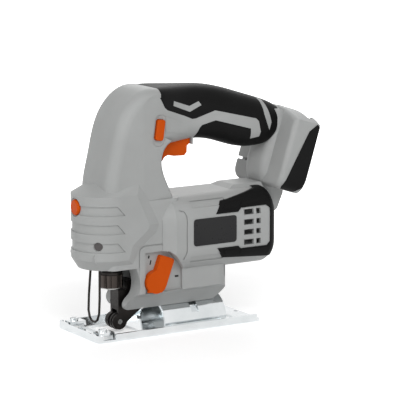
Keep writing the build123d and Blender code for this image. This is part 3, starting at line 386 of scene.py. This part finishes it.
# ------------------------------------------------------------------ pieces
@dataclass
class Shop:
    """Makes pieces by modelling operators and hands them to their body and slot.

    The cell and the reach are in metres, the margin and the seat in millimetres.
    """

    palette: Palette
    smooth_below: float = 35.0
    cell: float = 0.0012
    fewest_cells: int = 4
    margin: float = 2.0
    reach: float = 0.03
    seat: float = 0.3
    edge_share: float = 0.6
    edge_above: float = 50.0

    def finish(self, piece: bpy.types.Object, name: str, slot: str, body: str) -> bpy.types.Object:
        """Applies modifiers and transforms, then names, paints and mounts a piece.

        Args:
            piece: The object just made.
            name: Its name.
            slot: The record's material slot.
            body: The CAD body it rides on.

        Returns:
            The finished piece.
        """
        bpy.ops.object.select_all(action="DESELECT")
        piece.select_set(True)
        bpy.context.view_layer.objects.active = piece
        for modifier in list(piece.modifiers):
            bpy.ops.object.modifier_apply(modifier=modifier.name)
        bpy.ops.object.transform_apply(location=True, rotation=True, scale=True)
        piece.name = name
        piece.data.name = name
        piece.data.materials.clear()
        piece.data.materials.append(self.palette[slot])
        bpy.ops.object.shade_smooth_by_angle(angle=math.radians(self.smooth_below))
        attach(piece, body)
        return piece

    def sheet(self, outline: Outline, depth: float) -> bpy.types.Object:
        """Cuts a fine upright grid to a convex outline.

        Args:
            outline: Corners as x and z, in millimetres, all the way round.
            depth: The y that it stands at, in millimetres.

        Returns:
            The flat sheet.
        """
        bpy.ops.object.select_all(action="DESELECT")
        xs, zs = [x for x, _ in outline], [z for _, z in outline]
        middle = mm((min(xs) + max(xs)) / 2, depth, (min(zs) + max(zs)) / 2)
        span = mm(max(xs) - min(xs) + self.margin, max(zs) - min(zs) + self.margin, 0.0)
        bpy.ops.mesh.primitive_grid_add(
            x_subdivisions=max(int(span.x / self.cell), self.fewest_cells),
            y_subdivisions=max(int(span.y / self.cell), self.fewest_cells),
            size=1.0,
            location=middle,
            rotation=(math.pi / 2, 0.0, 0.0),
        )
        sheet = bpy.context.object
        sheet.scale = (span.x, span.y, 1.0)
        bpy.ops.object.transform_apply(location=True, rotation=True, scale=True)
        sides = list(zip(outline, outline[1:] + outline[:1]))
        turn = math.copysign(1.0, sum(x0 * z1 - x1 * z0 for (x0, z0), (x1, z1) in sides))
        bpy.ops.object.mode_set(mode="EDIT")
        for (x0, z0), (x1, z1) in sides:
            outward = Vector((z1 - z0, 0.0, x0 - x1)) * turn
            bpy.ops.mesh.select_all(action="SELECT")
            bpy.ops.mesh.bisect(plane_co=mm(x0, depth, z0), plane_no=outward.normalized(), clear_outer=True)
        bpy.ops.object.mode_set(mode="OBJECT")
        return sheet

    def panel(self, outline: Outline, depth: float, node: str, height: float) -> bpy.types.Object:
        """Makes a raised panel with bevelled edges, seated in the left face of a node.

        Args:
            outline: Corners as x and z, in millimetres, all the way round.
            depth: The y that it is laid on from, outside the node.
            node: The CAD node that it lies on.
            height: How far it stands proud, in millimetres.

        Returns:
            The panel, with its modifiers still to be applied.
        """
        sheet = self.sheet(outline, depth)
        wrap = sheet.modifiers.new("wrap", "SHRINKWRAP")
        wrap.wrap_method = "PROJECT"
        wrap.use_project_y = True
        wrap.use_positive_direction = True
        wrap.use_negative_direction = False
        wrap.project_limit = self.reach
        wrap.target = frame["nodes"][node]
        wrap.wrap_mode = "ABOVE_SURFACE"
        wrap.offset = height * MM
        thick = sheet.modifiers.new("thick", "SOLIDIFY")
        thick.thickness = (height + self.seat) * MM
        thick.offset = -1.0
        edge = sheet.modifiers.new("edge", "BEVEL")
        edge.width = height * self.edge_share * MM
        edge.segments = 2
        edge.limit_method = "ANGLE"
        edge.angle_limit = math.radians(self.edge_above)
        return sheet


@dataclass
class HandleTrim:
    """The low panel moulded on the handle's root, behind the lock bar and over the trigger."""

    shop: Shop
    outline: Outline = ((-7.4, 171.0), (12.7, 163.0), (15.0, 159.5), (16.9, 154.0), (-7.4, 158.6))
    depth: float = -40.0
    height: float = 0.35

    def build(self) -> list[bpy.types.Object]:
        """Makes the panel.

        Returns:
            The panel, as a list of one.
        """
        panel = self.shop.panel(self.outline, self.depth, "housing_left", self.height)
        return [self.shop.finish(panel, "trigger_panel", "grey_plastic", "housing")]


@dataclass
class BumperRelief:
    """The raised pads on the arms of the rear bumper."""

    shop: Shop
    upper: Outline = ((38.6, 94.4), (43.0, 98.2), (57.6, 99.2), (51.6, 93.8))
    spine: Outline = ((59.0, 99.4), (84.6, 101.6), (85.4, 98.6), (54.8, 95.0))
    lower: Outline = ((38.8, 61.6), (50.6, 61.4), (53.4, 58.6), (40.6, 58.4))
    floor: Outline = ((55.6, 60.6), (83.4, 60.6), (83.4, 57.2), (54.6, 57.4))
    depth: float = -45.0
    height: float = 0.4

    def build(self) -> list[bpy.types.Object]:
        """Makes the pads.

        Returns:
            The four pads.
        """
        pads = {"upper": self.upper, "spine": self.spine, "lower": self.lower, "floor": self.floor}
        return [
            self.shop.finish(
                self.shop.panel(outline, self.depth, "bumper_left", self.height),
                f"bumper_pad_{name}",
                "soft_black",
                "housing",
            )
            for name, outline in pads.items()
        ]


@dataclass(frozen=True)
class Mark:
    """One bar of the lever's scale: its middle and size in millimetres, and its turn in degrees."""

    x: float
    z: float
    wide: float
    tall: float
    turn: float


@dataclass
class LeverScale:
    """Raised marks in the lever's pocket, two at one end of its turn and one at the other."""

    shop: Shop
    floor: float = -21.5
    thick: float = 0.3
    edge: float = 0.1
    marks: tuple[Mark, ...] = (
        Mark(-23.0, 61.0, 1.4, 2.4, 10.0),
        Mark(-21.5, 56.5, 1.2, 3.6, 14.0),
        Mark(2.4, 43.0, 3.4, 1.6, 0.0),
    )

    def _bar(self, mark: Mark) -> bpy.types.Object:
        """Makes a bar, half sunk in the pocket's floor.

        Args:
            mark: Its place, size and turn.

        Returns:
            The bar, with its bevel still to be applied.
        """
        bpy.ops.object.select_all(action="DESELECT")
        bpy.ops.mesh.primitive_cube_add(
            size=1.0, location=mm(mark.x, self.floor, mark.z), rotation=(0, math.radians(mark.turn), 0)
        )
        bar = bpy.context.object
        bar.scale = mm(mark.wide, self.thick, mark.tall)
        bpy.ops.object.transform_apply(location=True, rotation=True, scale=True)
        edge = bar.modifiers.new("edge", "BEVEL")
        edge.width = self.edge * MM
        edge.segments = 3
        return bar

    def build(self) -> list[bpy.types.Object]:
        """Makes the marks.

        Returns:
            The three bars.
        """
        return [
            self.shop.finish(self._bar(mark), f"lever_mark_{number}", "black_plastic", "housing")
            for number, mark in enumerate(self.marks)
        ]


# ------------------------------------------------------------------ stage
@dataclass(frozen=True)
class Lamp:
    """A square lamp: its place and size in metres, and its power in watts."""

    name: str
    place: Triple
    size: float
    power: float

    def build(self, target: Vector) -> None:
        """Hangs the lamp and turns it to a point.

        Args:
            target: The point, in metres.
        """
        place = Vector(self.place)
        bpy.ops.object.light_add(type="AREA", location=place)
        lamp = bpy.context.object
        lamp.name = self.name
        lamp.data.shape = "SQUARE"
        lamp.data.size = self.size
        lamp.data.energy = self.power
        lamp.rotation_mode = "QUATERNION"
        lamp.rotation_quaternion = (target - place).to_track_quat("-Z", "Y")


@dataclass
class Stage:
    """Floor, lamps, sky and camera.

    The target and the distance are in millimetres, the angles in degrees, and the floor's size and halo in metres.
    """

    target: Triple = (37.42, 0.0, 97.16)
    azimuth: float = -31.79
    elevation: float = 10.37
    distance: float = 1840.0
    lens: float = 207.0
    sensor: float = 36.0
    clip: Range = (0.05, 50.0)
    floor_size: float = 8.0
    floor_roughness: float = 0.8
    halo: Range = (0.2, 0.55)
    glow: Range = (0.35, 1.0)
    sky: float = 0.42
    lamps: tuple[Lamp, ...] = (
        Lamp("key", (-0.35, -1.5, 1.5), 1.0, 16.0),
        Lamp("fill", (-1.6, -0.5, 0.7), 1.2, 7.5),
        Lamp("rim", (0.9, 1.2, 1.2), 1.0, 11.0),
        Lamp("low", (-0.7, -1.6, 0.12), 0.8, 4.0),
    )

    def build(self) -> None:
        """Makes the whole stage."""
        self._floor()
        for lamp in self.lamps:
            lamp.build(mm(*self.target))
        self._sky()
        self._camera()

    def _floor(self) -> None:
        """Lays a pale floor that keeps the object's shadow and turns white away from it."""
        bpy.ops.mesh.primitive_plane_add(size=self.floor_size, location=(0, 0, 0))
        floor = bpy.context.object
        floor.name = "floor"
        surface = Surface("floor")
        away = surface.distance(mm(*self.target))
        lit = surface.seen_or_mirrored() * surface.span(away, self.halo, self.glow)
        surface.set(
            Base_Color=opaque(FLOOR_GREY),
            Roughness=self.floor_roughness,
            Emission_Color=surface.blend(lit, BLACK, WHITE),
            Emission_Strength=1.0,
            Specular_IOR_Level=0.0,
        )
        floor.data.materials.append(surface.material)

    def _sky(self) -> None:
        """Makes a sky that looks white and lights the object less than that."""
        world = bpy.data.worlds.new("studio")
        bpy.context.scene.world = world
        world.use_nodes = True
        graph = Graph(world.node_tree)
        background = world.node_tree.nodes["Background"]
        strength = graph.span(graph.seen_or_mirrored(), (0.0, 1.0), (self.sky, 1.0))
        graph.feed(background.inputs["Color"], opaque(WHITE))
        graph.feed(background.inputs["Strength"], strength)

    def _camera(self) -> None:
        """Sets up the camera and aims it at the target."""
        azimuth, elevation = math.radians(self.azimuth), math.radians(self.elevation)
        away = Vector(
            (math.sin(azimuth) * math.cos(elevation), -math.cos(azimuth) * math.cos(elevation), math.sin(elevation))
        )
        bpy.ops.object.camera_add(location=mm(*self.target) + away * self.distance * MM)
        camera = bpy.context.object
        camera.data.lens = self.lens
        camera.data.sensor_width = self.sensor
        camera.rotation_mode = "QUATERNION"
        camera.rotation_quaternion = (-away).to_track_quat("-Z", "Y")
        camera.data.clip_start, camera.data.clip_end = self.clip
        bpy.context.scene.camera = camera


def paint_frame(palette: Palette) -> None:
    """Gives every CAD node its finish.

    Args:
        palette: Where the finishes come from.
    """
    slots = {entry["node"]: entry["material_slot"] for entry in frame["record"]["subparts"]}
    for name, node in frame["nodes"].items():
        for place in node.material_slots:
            place.material = palette[slots[name]]
        log.info("%s: %s", name, slots[name])


def main() -> None:
    """Dresses the frame."""
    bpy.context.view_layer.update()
    palette = Palette()
    paint_frame(palette)
    shop = Shop(palette)
    for assembly in (HandleTrim(shop), BumperRelief(shop), LeverScale(shop)):
        for piece in assembly.build():
            log.info("%s: %d faces", piece.name, len(piece.data.polygons))
    Stage().build()
    bpy.context.scene.view_settings.view_transform = "Standard"
    log.info("boxes written")


if __name__ == "__main__":
    main()
